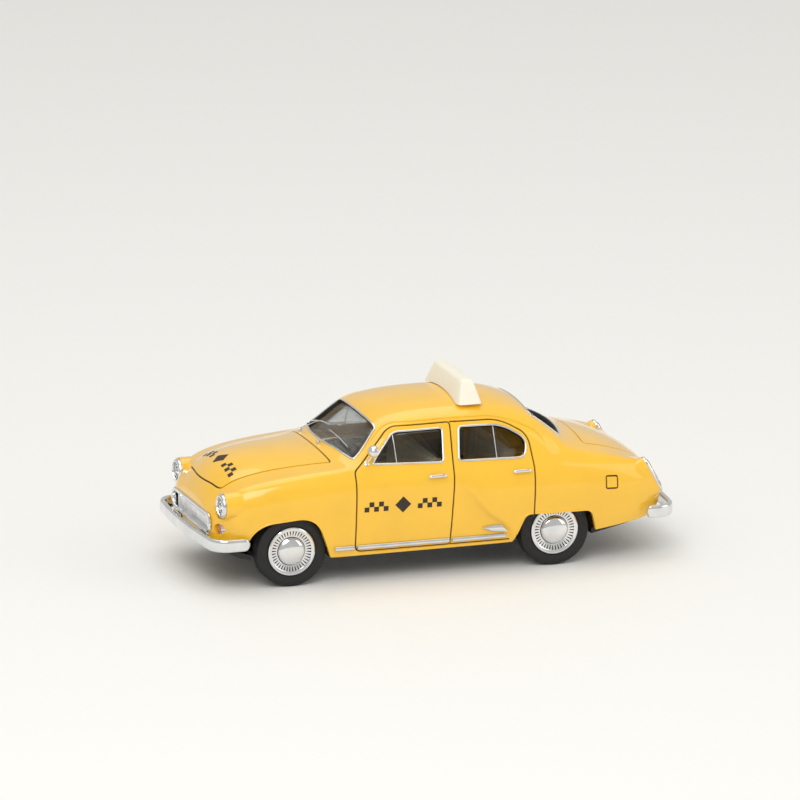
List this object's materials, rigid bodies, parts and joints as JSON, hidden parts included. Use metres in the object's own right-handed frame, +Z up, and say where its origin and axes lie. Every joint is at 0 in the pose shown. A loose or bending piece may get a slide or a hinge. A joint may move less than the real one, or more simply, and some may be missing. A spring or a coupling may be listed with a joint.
{
  "type": "toy taxi",
  "caption": "Die-cast display toy of a rounded four-door saloon taxi with a roof sign, bright trim, clear windows, a modelled cabin and freely rolling wheels on through axles.",
  "frame": {"origin": "middle of the overall box, on the road under the tyres", "axes": "+X to the nose, +Y to the car's left side, +Z up"},
  "size_m": [0.113, 0.0424, 0.0425],
  "materials": {
    "body_paint": "gloss golden yellow enamel on die-cast metal",
    "glazing": "clear moulded plastic",
    "bright_trim": "vacuum-plated bright plastic",
    "sign_plastic": "cream plastic",
    "base_plastic": "black moulded plastic",
    "screw_steel": "zinc-plated steel",
    "cabin_plastic": "warm grey moulded plastic",
    "seat_plastic": "light grey moulded plastic",
    "steering_plastic": "ivory plastic",
    "lamp_clear": "clear fluted plastic",
    "lamp_amber": "amber plastic",
    "lamp_red": "clear red plastic",
    "axle_steel": "plain steel",
    "wheel_chrome": "vacuum-plated bright plastic",
    "tyre_rubber": "soft black vinyl"
  },
  "bodies": {
    "taxi": {"body_shell": "body_paint", "window_glazing": "glazing", "windscreen_surround": "bright_trim", "rear_screen_surround": "bright_trim", "side_window_surrounds": "bright_trim", "quarter_light_bars": "bright_trim", "wipers": "bright_trim", "taxi_sign": "sign_plastic", "chassis": "base_plastic", "chassis_screws": "screw_steel", "interior_tub": "cabin_plastic", "front_seat": "seat_plastic", "rear_seat": "seat_plastic", "dashboard": "cabin_plastic", "steering_wheel": "steering_plastic", "grille": "bright_trim", "headlamp_bezels": "bright_trim", "headlamp_lenses": "lamp_clear", "front_indicators": "lamp_amber", "front_bumper": "bright_trim", "rear_bumper": "bright_trim", "tail_lamp_bezels": "bright_trim", "tail_lamp_lenses": "lamp_red", "door_handles": "bright_trim", "door_mirror": "bright_trim", "sill_mouldings": "bright_trim", "stone_guards": "bright_trim"},
    "front_wheels": {"front_axle": "axle_steel", "wheel_front_left": "wheel_chrome", "wheel_front_right": "wheel_chrome", "tyre_front_left": "tyre_rubber", "tyre_front_right": "tyre_rubber"},
    "rear_wheels": {"rear_axle": "axle_steel", "wheel_rear_left": "wheel_chrome", "wheel_rear_right": "wheel_chrome", "tyre_rear_left": "tyre_rubber", "tyre_rear_right": "tyre_rubber"}
  },
  "joints": [
    {"name": "front_axle_spin", "type": "hinge", "parent": "taxi", "child": "front_wheels", "pos_m": [0.03615, 0, 0.0082], "axis": [0, 1, 0], "continuous": true},
    {"name": "rear_axle_spin", "type": "hinge", "parent": "taxi", "child": "rear_wheels", "pos_m": [-0.02665, 0, 0.0082], "axis": [0, 1, 0], "continuous": true}
  ]
}
